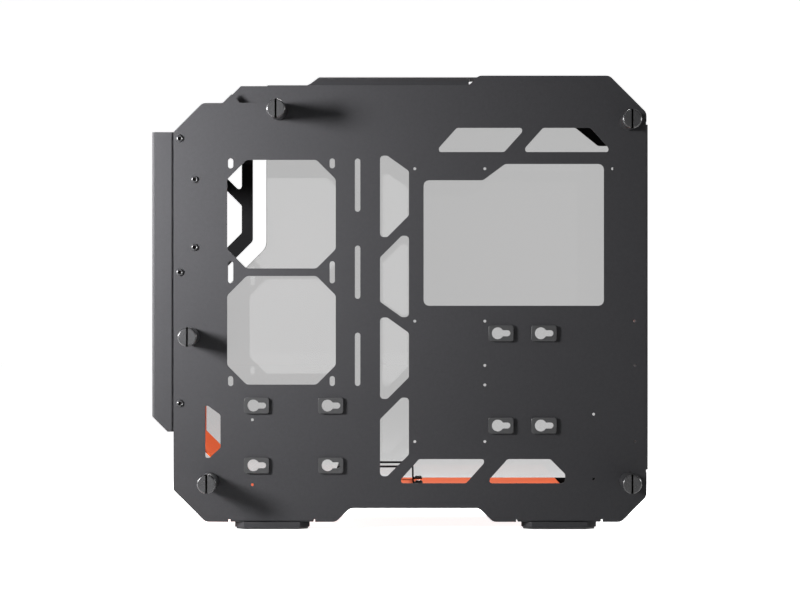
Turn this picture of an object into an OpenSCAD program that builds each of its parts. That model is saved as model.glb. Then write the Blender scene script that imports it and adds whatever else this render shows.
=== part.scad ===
// Open frame computer case: folded steel sheets, a tinted glass side and its fixings.
// +X is the rear, -Y the cable side of the tray, +Y the glass side, +Z is up.
// The origin is on the floor, under the middle of the whole case.

/* [Case] */
// Length from the front bracket to the rear fold
case_length = 512.4; // [505:0.1:560]
// Height from the floor to the raised top edge of the tray
case_height = 469; // [465:0.5:520]
// Width of the steel frame over its two side sheets
frame_width = 185; // [182:0.5:230]
// Thickness of the folded steel sheets
sheet = 1.5; // [1.2:0.1:1.8]
// Middle radius of the folds
fold_r = 2; // [1.5:0.25:3]

/* [Tray outline] */
// Cut at the lower front corner of the tray
front_low_cut = 33; // [20:0.5:36]
// Cut at the lower rear corner of the tray
rear_low_cut = 26.3; // [15:0.1:28]
// Cut at the upper rear corner of the tray
rear_top_cut = 38.2; // [30:0.1:42]
// Cut at the upper front corner of the tray
front_top_cut = 30; // [20:0.5:34]
// Drop from the raised top edge to the main top edge
main_drop = 10; // [8:0.5:12]
// Drop from the main top edge to the front shoulder
shoulder_drop = 18.3; // [14:0.1:20]
// Length of the front shoulder with its slope
shoulder_len = 69; // [60:0.5:72]
// Length of the raised top edge, from the rear face to its slope
raised_len = 175; // [150:1:178]
// Start of the arch in the lower edge, from the front edge
arch_front = 168; // [164:0.5:180]
// End of the arch in the lower edge, from the rear face
arch_rear = 160.2; // [155:0.1:170]
// Height of the arch in the lower edge
arch_rise = 14.2; // [8:0.1:16]
// Radius of the large outline corners
corner_r = 8; // [3:0.5:10]
// Radius of the small outline corners
edge_r = 3; // [1:0.5:4]

/* [Tray folds] */
// Depth of the fold along the rear edge
rear_lip = 5.2; // [4:0.1:5.4]
// Height of the lower end of the rear fold
rear_lip_z = 62; // [55:1:80]
// Gap from the upper end of the rear fold to the upper rear cut
rear_lip_gap = 12.4; // [8:0.1:20]
// Height of the relief notches at the ends of a fold
notch_h = 3; // [2:0.5:5]
// Depth of the foot flanges
foot_flange = 32; // [30:1:40]
// Length of the foot flanges
foot_flange_len = 85.5; // [84:0.5:95]
// Lean of the top flange from upright
top_flange_lean = 45; // [30:1:60]
// Start of the top flange, from the front edge
top_flange_start = 138.3; // [130:0.1:145]
// Run of the taper at the ends of the top flange
top_flange_taper = 12; // [8:0.5:16]
// Length of the notch at the shoulder
notch_len = 28; // [20:1:30]
// Depth of the notch at the shoulder
notch_deep = 18; // [12:0.5:18]

/* [Motherboard holes] */
// Rear hole column, from the rear face
board_inset = 13.6; // [12.4:0.1:14]
// Lowest hole row, above the floor
board_low_z = 90.8; // [88:0.1:96]
// Middle hole column, from the rear column
board_mid_col = 154.94; // [154.94]
// Front hole column, from the rear column
board_front_col = 227.33; // [227.33]
// Middle hole row, from the lowest row
board_mid_row = 124.46; // [124.46]
// Top hole row, from the lowest row
board_top_row = 281.94; // [281.94]
// Short board hole row, below the top row
board_short_row = 203.2; // [203.2]
// Small board hole row, below the short board row
board_small_row = 20.2; // [18:0.1:22]
// Top rear hole, from the rear column
board_top_jog = 22.86; // [22.86]
// Radius of the board holes
board_hole_r = 1.5; // [1.4:0.05:1.8]

/* [Fan openings] */
// Pitch of the fans, which is the fan size
fan_pitch = 120; // [120:0.5:121]
// Width of a fan opening
fan_open = 112.2; // [104:0.1:114]
// Cut at the corners of a fan opening
fan_cut = 20; // [14:0.5:24]
// Pitch of the fan screws
fan_screw_pitch = 105; // [105]
// Width of the fan screw slots
fan_slot_w = 5.4; // [4.5:0.1:6]
// Length of the fan screw slots
fan_slot_len = 10.3; // [8:0.1:12]
// Radius of the drilled fan holes
fan_hole_r = 2.2; // [2:0.05:2.5]
// Middle of the tray fans, from the front edge
tray_fan_x = 111.5; // [110:0.5:114]
// Share of the spare height that is left above the tray fans
tray_fan_share = 0.49737; // [0.48:0.001:0.51]

/* [Tray windows] */
// Width of the cable slots
cable_slot_w = 5.6; // [4:0.1:8]
// Length of the cable slots
cable_slot_len = 55; // [40:1:60]
// Pitch of the cable slots
cable_slot_pitch = 90; // [70:1:95]
// Middle of the cable slots, from the front edge
cable_slot_x = 190.2; // [188:0.1:194]
// Width of the column windows
column_w = 29.8; // [24:0.1:32]
// Height of the column windows
column_h = 84.1; // [80:0.1:84.5]
// Pitch of the column windows
column_pitch = 83.65; // [83.3:0.05:84]
// Front side of the column windows, from the rear face
column_x = 276.8; // [274:0.1:279]
// Top of the column windows, below the raised top
column_drop = 82.7; // [82:0.1:86]
// Run of the slants of the column windows
column_cut = 22.3; // [16:0.1:23]
// Height of the flatter slants of the column windows
column_low_cut = 15.9; // [12:0.1:17]
// Radius of the window corners
window_r = 3.6; // [2:0.1:4.5]
// Height of the upper and lower slanted windows
band_h = 25; // [20:0.1:26]
// Length of the upper slanted windows
upper_len = 86; // [70:0.5:87]
// Pitch of the upper slanted windows
upper_pitch = 89.2; // [89:0.1:92]
// Front end of the upper slanted windows, from the rear face
upper_x = 216; // [214:0.5:218]
// Top of the upper slanted windows, below the raised top
upper_drop = 54; // [52:0.5:56]
// Slant of the slanted windows
band_cut = 18.5; // [14:0.5:19]
// Front end of the lower slanted windows, from the rear face
lower_x = 255; // [254:0.5:257]
// Length of the longer lower window
lower_long = 85.6; // [70:0.2:86]
// Length of the shorter lower window
lower_short = 78; // [60:0.5:80]
// Pitch of the lower slanted windows
lower_pitch = 91.5; // [91:0.5:94]
// Underside of the lower slanted windows, above the floor
lower_z = 47.7; // [46:0.1:49]
// Width of the processor window
cpu_w = 186.3; // [160:0.1:188]
// Height of the processor window
cpu_h = 146.5; // [120:0.1:150]
// Rear side of the processor window, from the rear face
cpu_x = 45.5; // [40:0.5:50]
// Underside of the processor window, above the middle hole row
cpu_rise = 15.9; // [14:0.1:18]
// Drop of the step at the top of the processor window
cpu_step = 16.8; // [10:0.1:20]
// Length of the step at the top of the processor window
cpu_step_len = 61.5; // [50:0.5:70]
// Radius of the processor window corners
cpu_r = 5.5; // [3:0.5:8]
// Width of the small front window
nook_w = 15.7; // [12:0.1:16]
// Height of the small front window
nook_h = 54; // [40:0.5:60]
// Front side of the small front window, from the front edge
nook_x = 32.8; // [31:0.1:34]
// Underside of the small front window, above the floor
nook_z = 73.9; // [70:0.1:78]

/* [Rubber keyhole pads] */
// Length of a pad
pad_len = 25.8; // [24.5:0.1:27]
// Height of a pad
pad_h = 16.6; // [15:0.1:18]
// How far a pad stands out of the tray
pad_proud = 3; // [1.5:0.1:3.5]
// Radius of the pad corners
pad_r = 2.5; // [1:0.1:3]
// Radius of the large end of a keyhole
key_r = 6.1; // [5:0.1:6.5]
// Radius of the narrow end of a keyhole
key_slot_r = 3.1; // [2:0.1:3.4]
// Distance between the two ends of a keyhole
key_run = 10; // [9:0.1:11]
// Pitch along the small drive screws
small_pitch_x = 76.6; // [76.6]
// Pitch across the small drive screws
small_pitch_z = 61.72; // [61.72]
// First small pad keyhole, from the front edge
small_x = 82.6; // [80:0.1:86]
// Share of the spare height that is left below the small pad keyholes
small_share = 0.39694; // [0.38:0.001:0.41]
// Pitch along the large drive screws
large_pitch_x = 44.45; // [44.45]
// Pitch across the large drive screws
large_pitch_z = 95.25; // [95.25]
// Rear large pad keyhole, from the rear face
large_x = 110.8; // [108:0.1:112]
// Lower large pad keyholes, above the floor
large_z = 107.5; // [106:0.1:110]

/* [Panel posts and screws] */
// Radius of a panel post
post_r = 9; // [7:0.1:9.5]
// Length of the posts on the cable side
right_post_len = 44; // [30:1:60]
// Length of the posts on the glass side
left_post_len = 22; // [15:1:30]
// Radius of a thumbscrew head
head_r = 9.8; // [8:0.1:11]
// Thickness of a thumbscrew head
head_t = 6; // [4:0.5:8]
// Width of the coin slot
coin_slot_w = 1.8; // [1.2:0.1:2.5]
// Depth of the coin slot
coin_slot_d = 2.2; // [1:0.1:3]
// Radius of the thumbscrew thread
thread_r = 2.5; // [2:0.1:3]
// Depth of the threaded hole in a post
thread_len = 13; // [12:0.5:14]
// Radius of the pad of sheet under a left post
post_land_r = 12; // [11:0.5:13]
// Head radius of the small frame screws
screw_head_r = 3.9; // [3:0.1:4.2]
// Head thickness of the small frame screws
screw_head_t = 2; // [1.5:0.1:2.5]
// Shank radius of the small frame screws
screw_r = 1.6; // [1.2:0.1:2]
// Shank length of the small frame screws
screw_len = 5.5; // [5:0.5:8]

/* [Glass side] */
// Thickness of the glass
glass_t = 4; // [3:0.5:5]
// Margin between the glass and the outline of the frame
glass_inset = 4; // [2:0.5:8]
// Length of the open corner in front of the glass
glass_corner_x = 85.7; // [80:0.5:100]
// Height of the inner bend of that open corner
glass_corner_z = 295.6; // [270:0.5:310]
// Radius of the inner bend of the open corner
glass_corner_r = 14; // [5:1:20]
// Radius of the screw holes in the glass
glass_hole_r = 5.5; // [5:0.1:7]
// Thickness of the rubber washers beside the glass
washer_t = 1; // [0.5:0.1:1.5]

/* [Left frame] */
// Width of the front rail
front_rail = 18; // [14:0.5:19]
// Width of the narrow lattice bars
lattice_bar = 12.2; // [8:0.1:14]
// Front side of the main opening, from the front edge
lattice_x = 72; // [68:0.5:76]
// Lower end of the upright lattice bar
lattice_z = 302; // [290:1:310]
// Upper side of the main opening, below the raised top
opening_drop = 42.2; // [42:0.1:50]
// Width of the rear rail
rear_rail = 20; // [18:0.5:24]
// Length of the cut corner at the upper rear of the opening
corner_plate_x = 25; // [15:1:30]
// Height of the cut corner at the upper rear of the opening
corner_plate_z = 20.2; // [15:0.1:28]

/* [Base and drive bracket] */
// Upper face of the orange base sheet
base_z = 41.6; // [38:0.1:43]
// Rear end of the base sheet, from the rear face
base_rear = 84.5; // [82:0.5:95]
// Front wall of the base sheet, from the front edge of the tray
base_front = 21; // [20:0.5:24]
// Rise of the slope at the front of the base sheet
base_slope = 52.6; // [40:0.1:55]
// Top of the front wall of the base sheet
base_wall_z = 165; // [130:1:180]
// Depth of the side flanges of the base sheet
base_flange = 14; // [10:0.5:15]
// Length of the drive bracket
bracket_len = 82; // [70:0.5:90]
// Width of the drive bracket
bracket_w = 89; // [80:0.5:92]
// Height of the drive bracket over the base
bracket_h = 18.8; // [14:0.1:24]
// Width of the rails of the drive bracket
bracket_rail = 13; // [10:0.5:16]
// Rear end of the drive bracket, from the rear face
bracket_rear = 241.6; // [238:0.1:245]
// Length of the feet of the drive bracket
bracket_foot = 9.5; // [9.5:0.5:12]

/* [Front bracket] */
// Depth of the front bracket ahead of the tray
nose_depth = 21; // [18:0.5:24]
// Gap between the front bracket and the tray
nose_gap = 1.2; // [0.8:0.1:1.8]
// Height of the front bracket
nose_h = 309.6; // [300:0.1:315]
// Underside of the front bracket, above the floor
nose_z = 101; // [98:0.5:103]
// Cut at the lower corner of the front bracket
nose_cut = 16; // [8:0.5:18]
// Depth of the flanges behind the side sheets
nose_flange = 16; // [12:0.5:18]
// Middle of the lower front fan, above the underside of the bracket
nose_fan_z = 82; // [80:0.5:90]

/* [Rear wall] */
// Length of the connector opening
io_len = 158.75; // [158.75]
// Width of the connector opening
io_w = 44.45; // [44.45]
// Top of the connector opening, above the top hole row
io_rise = 13.2; // [12:0.1:14]
// Connector opening, from the tray
io_gap = 5.6; // [5.6:0.1:6.5]
// Pitch of the slot covers
slot_pitch = 20.32; // [20.32]
// Lowest slot, above the lowest hole row
slot_rise = 4.2; // [3.5:0.1:5]
// Width of the slot openings
slot_w = 14; // [12:0.1:15]
// Length of the slot openings
slot_len = 100; // [90:1:105]
// Width of a slot cover
cover_w = 18.6; // [18:0.1:19.5]
// Length of a slot cover
cover_len = 116; // [112:1:120]
// Thickness of a slot cover
cover_t = 0.9; // [0.8:0.1:1.2]
// Middle of the rear fan, from the tray
rear_fan_y = 116; // [112:0.5:118]
// Depth of the flanges of the rear wall
wall_flange = 8; // [6:0.5:8.5]

/* [Top panel] */
// Drop from the raised tray edge to the top panel
panel_drop = 1.2; // [0.5:0.1:2]
// Length of the lower front part of the top panel
panel_low_len = 34; // [30:1:40]
// Depth of the panel's tongue behind the outer face of the tray
tongue_in = 8.5; // [5:0.5:12]
// Depth of the side flanges of the top panel
panel_flange = 12; // [10:0.5:14]
// Middle of the front top fan, from the rear face
top_fan_x = 255; // [252:1:262]

/* [Feet] */
// Height of a foot block
foot_h = 5.7; // [4:0.1:8]
// Thickness of the rubber under a foot
sole_t = 2.1; // [1.5:0.1:4]
// Length of a foot
foot_len = 77.2; // [60:0.1:80]
// Width of a foot
foot_w = 30; // [26:0.5:34]
// Cut at the corners of a foot
foot_cut = 9.8; // [6:0.1:12]
// Middle of the front feet, from the front edge
foot_front_x = 101.5; // [99:0.5:104]
// Middle of the rear feet, from the rear face
foot_rear_x = 91.5; // [90:0.5:94]
// Step from the foot block to its rubber
sole_inset = 1.6; // [1:0.1:3]

/* [Front controls] */
// Width of the control housing
deck_w = 130; // [124:1:150]
// Height of the control housing
deck_h = 26; // [24:0.5:28]
// Depth of the control housing
deck_d = 16; // [14:0.5:17]
// Middle of the controls, below the top of the front bracket
deck_drop = 20; // [19:0.5:21]
// Radius of the power button
power_r = 8; // [6:0.1:9]
// Radius of the reset button
reset_r = 3; // [2:0.1:4]
// Travel of the buttons
button_travel = 1.5; // [1:0.1:2]
// Width of a data port
port_w = 13.2; // [13:0.1:15]
// Height of a data port
port_h = 5.8; // [5:0.1:6]
// Radius of a sound socket
jack_r = 3.6; // [3:0.1:4]
// Share of the housing's width from one large control to the next
control_share = 0.1538; // [0.146:0.0001:0.16]

/* [Hidden] */
$fn = 48;

// Clearance between pieces that fit in each other, and the overrun of every cut
fit = 0.2;
over = 1;
// Number of straight steps that round one corner
steps = 3;
fold_steps = 4;

// Main planes
x_nose = -case_length / 2;
x_rear = case_length / 2;
x_front = x_nose + nose_depth + nose_gap;
x_edge = x_rear - sheet;
top_z = case_height;
main_z = top_z - main_drop;
shoulder_z = main_z - shoulder_drop;
skirt_z = foot_h + sole_t;
span_y = frame_width + right_post_len + left_post_len + glass_t + 2 * washer_t + 2 * head_t;
y_right = -span_y / 2 + head_t + right_post_len;
y_left = y_right + frame_width;
y_in_right = y_right + sheet;
y_in_left = y_left - sheet;
y_mid = (y_right + y_left) / 2;
y_glass = y_left + left_post_len + washer_t;

// Tray places
board_x = x_rear - board_inset;
fan_x = x_front + tray_fan_x;
// Height that the tray fans and the small pads leave free
spare_h = case_height - 2 * fan_pitch - small_pitch_z;
fan_z = top_z - fan_pitch / 2 - spare_h * tray_fan_share;
small_z = spare_h * small_share;
raised_x = x_rear - raised_len;
shoulder_x = x_front + shoulder_len;
tooth = shoulder_drop / 2;
notch_x = shoulder_x + notch_len;
arch_x0 = x_front + arch_front;
arch_x1 = x_rear - arch_rear;
panel_top = top_z - panel_drop;
panel_under = panel_top - sheet;
top_flange_x0 = x_front + top_flange_start;
top_flange_x1 = raised_x - main_drop;
top_flange_rise = panel_under - main_z - fit;
top_flange_back = top_flange_rise * tan(top_flange_lean);
foot_x = [x_front + foot_front_x, x_rear - foot_rear_x];
foot_sides = [y_right + foot_w / 2, y_left - foot_w / 2];
rear_lip_top = top_z - rear_top_cut - rear_lip_gap;

// Plain geometry of outlines
function unit(v) = v / norm(v);
function wrap(a) = a > 180 ? a - 360 : a < -180 ? a + 360 : a;
function corner(a, b, c, r, n) =
    let (
        u = unit(a - b),
        v = unit(c - b),
        half = acos(max(-1, min(1, u * v))) / 2
    )
    r <= 0 || half > 89.5 ? [b] :
    let (
        reach = min(r / tan(half), norm(a - b) / 2, norm(c - b) / 2),
        ra = reach * tan(half),
        mid = b + unit(u + v) * ra / sin(half),
        s = b + u * reach - mid,
        e = b + v * reach - mid,
        a0 = atan2(s.y, s.x),
        turn = wrap(atan2(e.y, e.x) - a0)
    )
    [for (i = [0 : n]) mid + ra * [cos(a0 + turn * i / n), sin(a0 + turn * i / n)]];
function radius_at(r, i) = is_list(r) ? r[i] : r;
function rounded(p, r, n = steps) =
    let (k = len(p))
    [for (i = [0 : k - 1]) each corner(p[(i + k - 1) % k], p[i], p[(i + 1) % k], radius_at(r, i), n)];
function bent(p, r, n = fold_steps) =
    let (k = len(p))
    [for (i = [0 : k - 1]) each (i == 0 || i == k - 1) ? [p[i]] : corner(p[i - 1], p[i], p[i + 1], r, n)];
function left_of(v) = [-v.y, v.x];
function side_point(p, i, d) =
    let (
        k = len(p),
        u = i == 0 ? unit(p[1] - p[0]) : unit(p[i] - p[i - 1]),
        v = i == k - 1 ? u : unit(p[i + 1] - p[i]),
        m = unit(left_of(u) + left_of(v))
    )
    p[i] + m * d / (m * left_of(u));
function strip(p, t) = concat(
    [for (i = [0 : len(p) - 1]) side_point(p, i, t / 2)],
    [for (i = [len(p) - 1 : -1 : 0]) side_point(p, i, -t / 2)]);

// A rectangle from its lower front corner, each corner cut by [run, rise]
function cut_rect(w, h, bl, br, tr, tl) = concat(
    bl.x > 0 ? [[0, bl.y], [bl.x, 0]] : [[0, 0]],
    br.x > 0 ? [[w - br.x, 0], [w, br.y]] : [[w, 0]],
    tr.x > 0 ? [[w, h - tr.y], [w - tr.x, h]] : [[w, h]],
    tl.x > 0 ? [[tl.x, h], [0, h - tl.y]] : [[0, h]]);
module window(x, z, p, r = window_r) translate([x, z]) polygon(rounded(p, r));
module pill(x, z, w, h) {
    translate([x - w / 2, z - h / 2 + w / 2]) square([w, h - w]);
    for (s = [-1, 1]) translate([x, z + s * (h - w) / 2]) circle(w / 2);
}

// A sheet that stands along the case, across it, or lies flat
module upright(y, t = sheet) translate([0, y, 0]) rotate([90, 0, 0]) linear_extrude(t) children();
module across(x, t = sheet) translate([x, 0, 0]) rotate([90, 0, 90]) linear_extrude(t) children();
module flat(z, t = sheet) translate([0, 0, z]) linear_extrude(t) children();
module box(lo, hi) translate(lo) cube(hi - lo);
module rod_x(y, z, x0, x1, r) translate([x0, y, z]) rotate([0, 90, 0]) cylinder(h = x1 - x0, r = r);
module rod_z(x, y, z0, z1, r) translate([x, y, z0]) cylinder(h = z1 - z0, r = r);

// One fan opening with its screw slots, and a column of them
module fan_open_shape(x, z) {
    q = [fan_cut, fan_cut];
    window(x - fan_open / 2, z - fan_open / 2, cut_rect(fan_open, fan_open, q, q, q, q), cpu_r);
}
module fan_column(x, z, n) {
    for (i = [0 : n - 1]) fan_open_shape(x, z + i * fan_pitch);
    for (s = [-1, 1], i = [0 : n])
        if (i == 0 || i == n)
            pill(x + s * fan_screw_pitch / 2, z + (i == 0 ? -1 : 1) * fan_screw_pitch / 2
                + (i == 0 ? 0 : (n - 1) * fan_pitch), fan_slot_w, fan_slot_len);
        else
            pill(x + s * fan_screw_pitch / 2, z + (i - 1 / 2) * fan_pitch,
                fan_slot_w, fan_slot_len + fan_pitch - fan_screw_pitch - (fan_slot_len - fan_slot_w) / 2);
}
module drilled_fan_column(x, z, n)
    for (i = [0 : n - 1]) {
        fan_open_shape(x, z + i * fan_pitch);
        for (a = [-1, 1], b = [-1, 1])
            translate([x + a * fan_screw_pitch / 2, z + i * fan_pitch + b * fan_screw_pitch / 2])
                circle(fan_hole_r);
    }

// Outline shared by the tray and the left frame
side_outline = [
    [x_front, skirt_z + front_low_cut],
    [x_front + front_low_cut, skirt_z],
    [arch_x0, skirt_z],
    [arch_x0 + arch_rise, skirt_z + arch_rise],
    [arch_x1 - arch_rise, skirt_z + arch_rise],
    [arch_x1, skirt_z],
    [x_edge - rear_low_cut, skirt_z],
    [x_edge, skirt_z + rear_low_cut],
    [x_edge, top_z - rear_top_cut],
    [x_edge - rear_top_cut, top_z],
    [raised_x, top_z],
    [raised_x - main_drop, main_z],
    [shoulder_x, main_z],
    [shoulder_x - shoulder_drop, shoulder_z],
    [x_front + front_top_cut, shoulder_z],
    [x_front, shoulder_z - front_top_cut]
];
side_radii = [
    edge_r, corner_r, corner_r, corner_r, corner_r, corner_r, corner_r, corner_r,
    corner_r, corner_r, corner_r, corner_r, edge_r, edge_r, corner_r, edge_r
];

// Places of the five panel posts, as [x, z] from the edges that they follow
post_low_rise = 42.3;
post_low_in = 37.4;
post_side_in = 17.8;
post_side_z = 199.5;
post_top_in = 107.7;
post_top_drop = 37;
post_rear_in = 20.3;
post_rear_drop = 47.8;
posts = [
    [x_front + post_top_in, top_z - post_top_drop],
    [x_front + post_side_in, post_side_z],
    [x_front + post_low_in, skirt_z + post_low_rise],
    [x_rear - post_rear_in, top_z - post_rear_drop],
    [x_rear - post_rear_in, skirt_z + post_low_rise]
];
// The spigot by which a post is pressed into its sheet
spigot_r = 4;
module post_holes() for (p = posts) translate(p) circle(spigot_r + fit / 2);

// Screws that hold the front bracket, from the front edge of the tray and the bracket's underside
nose_top = nose_z + nose_h;
nose_screw_in = 6.6;
nose_tab_in = 21.9;
nose_tab_edge = 28;
nose_tab_margin = 8.6;
nose_screw_rises = [29.3, 164.7, 302.9];
nose_tab_rises = [190.6, 260.8];
nose_screws = [for (r = nose_screw_rises) [x_front + nose_screw_in, nose_z + r]];
nose_tab_screws = [for (r = nose_tab_rises) [x_front + nose_tab_in, nose_z + r]];
// Screws that hold the rear wall to the left frame
wall_screw_in = 4.3;
wall_screw_shares = [0.26, 0.5267, 0.7932];
wall_screws = [for (r = wall_screw_shares) [x_edge - wall_screw_in, case_height * r]];
// Small holes for cable clips, from the nearest edges
clip_rear_in = 56.1;
clip_rear_zs = [52.3, 119.1];
clip_front_in = 81.4;
clip_front_zs = [46.2, 113.3];
// Slants of the windows
cut_toe = 4.4;
short_slant = 15.5;
cpu_slant = 22.7;
nook_top_slant = [13, 9.5];
nook_low_slant = [11.5, 10.5];
column_lift = 0.85;
column_last_h = 81.2;
none = [0, 0];
slant = [band_cut, band_h - cut_toe];

// The pads, as [x, z] of the large end of each keyhole
small_keys = [for (j = [0, 1], i = [0, 1])
    [x_front + small_x + i * small_pitch_x, small_z + j * small_pitch_z]];
large_keys = [for (j = [0, 1], i = [0, 1])
    [x_rear - large_x - i * large_pitch_x, large_z + j * large_pitch_z]];
// Front margin of a pad, and how far its rim reaches over the sheet
pad_front = 9.6;
pad_rim = 2;
module pad_shape(grow) {
    window(-pad_front - grow, -pad_h / 2 - grow,
        cut_rect(pad_len + 2 * grow, pad_h + 2 * grow, none, none, none, none), pad_r);
}
module keyhole_shape() {
    circle(key_r);
    translate([0, -key_slot_r]) square([key_run, 2 * key_slot_r]);
    translate([key_run, 0]) circle(key_slot_r);
}

// Holes for a motherboard
module board_holes() {
    cols = [0, board_mid_col, board_front_col];
    places = concat(
        [for (c = cols, r = [0, board_mid_row]) [c, r]],
        [for (c = [board_top_jog, board_mid_col, board_front_col]) [c, board_top_row]],
        [for (c = [0, board_mid_col]) [c, board_top_row - board_short_row]],
        [[board_mid_col, board_top_row - board_short_row - board_small_row]]);
    for (p = places) translate([board_x - p.x, board_low_z + p.y]) circle(board_hole_r);
}
module clip_holes() {
    for (z = clip_rear_zs) translate([x_rear - clip_rear_in, z]) circle(board_hole_r);
    for (z = clip_front_zs) translate([x_front + clip_front_in, z]) circle(board_hole_r);
}
module screw_holes(places) for (p = places) translate(p) circle(screw_r + fit / 2);

// The slanted windows between the fans and the board, from top to bottom
module column_windows() {
    steep = [column_cut, column_cut];
    low = [column_cut, column_low_cut];
    x = x_rear - column_x;
    top = top_z - column_drop;
    window(x, top - column_h, cut_rect(column_w, column_h, none, steep, low, none));
    window(x, top - column_pitch - column_h + column_lift,
        cut_rect(column_w, column_h, low, none, none, steep));
    window(x, top - 2 * column_pitch - column_h,
        cut_rect(column_w, column_h, none, steep, low, none));
    window(x, top - 3 * column_pitch - column_last_h + column_lift,
        cut_rect(column_w, column_last_h, none, steep, none, steep));
}
module band_windows() {
    upper = top_z - upper_drop - band_h;
    short = [short_slant, short_slant];
    window(x_rear - upper_x, upper, cut_rect(upper_len, band_h, none, slant, none, slant));
    window(x_rear - upper_x + upper_pitch, upper, cut_rect(upper_len, band_h, none, none, slant, slant));
    window(x_rear - lower_x, lower_z, cut_rect(lower_long, band_h, none, slant, none, slant));
    window(x_rear - lower_x + lower_pitch, lower_z,
        cut_rect(lower_short, band_h, none, none, short, slant));
}
module cpu_window() {
    p = [[0, 0], [cpu_w, 0], [cpu_w, cpu_h], [cpu_step_len + cpu_slant, cpu_h],
        [cpu_step_len, cpu_h - cpu_step], [0, cpu_h - cpu_step]];
    window(x_rear - cpu_x - cpu_w, board_low_z + board_mid_row + cpu_rise, p, cpu_r);
}
module tray_openings() {
    fan_column(fan_x, fan_z - fan_pitch, 2);
    for (i = [-1 : 1])
        pill(x_front + cable_slot_x, fan_z - fan_pitch / 2 + i * cable_slot_pitch,
            cable_slot_w, cable_slot_len);
    column_windows();
    band_windows();
    cpu_window();
    window(x_front + nook_x, nook_z,
        cut_rect(nook_w, nook_h, none, nook_low_slant, nook_top_slant, none), edge_r);
    board_holes();
    clip_holes();
    post_holes();
    screw_holes(concat(nose_screws, nose_tab_screws));
    for (k = concat(small_keys, large_keys)) translate(k) pad_shape(-pad_rim);
}

// Folds of the tray. The flat sheet stops where a fold begins to turn
fold_out = fold_r + sheet / 2;
notch_w = 2;
notch_tip = [shoulder_x - tooth, main_z - tooth];
notch_root = [notch_tip.x + notch_tip.y - (main_z - notch_deep), main_z - notch_deep];
module fold_room(x) {
    len_x = foot_flange_len;
    translate([x - len_x / 2, skirt_z - over]) square([len_x, fold_out + over]);
    for (s = [-1, 1])
        translate([x + s * (len_x + notch_w) / 2 - notch_w / 2, skirt_z - over])
            square([notch_w, fold_out + over]);
}
module rear_fold_room() {
    translate([x_rear - fold_out, rear_lip_z]) square([fold_out, rear_lip_top - rear_lip_z]);
    for (z = [rear_lip_z - notch_h, rear_lip_top])
        translate([x_rear - fold_out, z]) square([fold_out + over, notch_h]);
}
module tray_sheet() {
    difference() {
        polygon(rounded(side_outline, side_radii));
        tray_openings();
        polygon([[notch_x, main_z + over], [notch_x, notch_root.y], notch_root, notch_tip,
            [notch_tip.x, main_z + over]]);
        for (x = foot_x) fold_room(x);
        rear_fold_room();
    }
}
// A flange that carries a foot, folded inwards from the sheet whose outer face is at y
module foot_flange_at(x, y, inwards) {
    mid = sheet / 2;
    path = [[y + inwards * mid, skirt_z + 2 * fold_out], [y + inwards * mid, skirt_z + mid],
        [y + inwards * foot_flange, skirt_z + mid]];
    difference() {
        across(x - foot_flange_len / 2, foot_flange_len) polygon(strip(bent(path, fold_r), sheet));
        for (s = [-1, 1])
            rod_z(x + s * foot_screw_pitch / 2, y + inwards * foot_w / 2, skirt_z - over,
                skirt_z + sheet + over, screw_r + fit / 2);
    }
}
foot_screw_pitch = 44;
module rear_lip_fold() {
    mid = sheet / 2;
    path = [[x_rear - 2 * fold_out, y_right + mid], [x_rear - mid, y_right + mid],
        [x_rear - mid, y_right + rear_lip]];
    flat(rear_lip_z, rear_lip_top - rear_lip_z) polygon(strip(bent(path, fold_r), sheet));
}
module top_flange() {
    slope = top_flange_rise / cos(top_flange_lean);
    translate([0, y_right, main_z]) rotate([-top_flange_lean, 0, 0]) upright(sheet)
        polygon([[top_flange_x0, 0], [top_flange_x1, 0], [top_flange_x1, slope],
            [top_flange_x0 + top_flange_taper, slope]]);
}
module motherboard_tray() color([0.17, 0.17, 0.18]) {
    upright(y_in_right) tray_sheet();
    top_flange();
    rear_lip_fold();
    for (x = foot_x) foot_flange_at(x, y_right, 1);
}

// Rear wall: a channel between the two side sheets, inside the tray's rear fold
wall_top = top_z - rear_top_cut - 2 * sheet;
wall_low = base_z;
cover_screw_in = 4;
cover_start = 4.5;
slot_start = 10;
function slot_z(i) = board_low_z + slot_rise + i * slot_pitch;
module rear_panel() color([0.17, 0.17, 0.18]) {
    mid = sheet / 2;
    ends = [y_in_right + mid, y_in_left - mid];
    path = [[x_edge - wall_flange, ends[0]], [x_edge - mid, ends[0]], [x_edge - mid, ends[1]],
        [x_edge - wall_flange, ends[1]]];
    difference() {
        flat(wall_low, wall_top - wall_low) polygon(strip(bent(path, fold_r), sheet));
        across(x_edge - sheet - over, sheet + 2 * over) {
            translate([y_in_right + io_gap, board_low_z + board_top_row + io_rise - io_len])
                square([io_w, io_len]);
            drilled_fan_column(y_in_right + rear_fan_y, fan_z, 1);
            for (i = [0 : 6]) {
                translate([y_in_right + slot_start, slot_z(i) - slot_w / 2]) square([slot_len, slot_w]);
                translate([y_in_right + cover_start + cover_len - cover_screw_in, slot_z(i)])
                    circle(screw_r + fit / 2);
            }
        }
        upright(y_left, 4 * sheet) screw_holes(wall_screws);
    }
}

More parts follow.
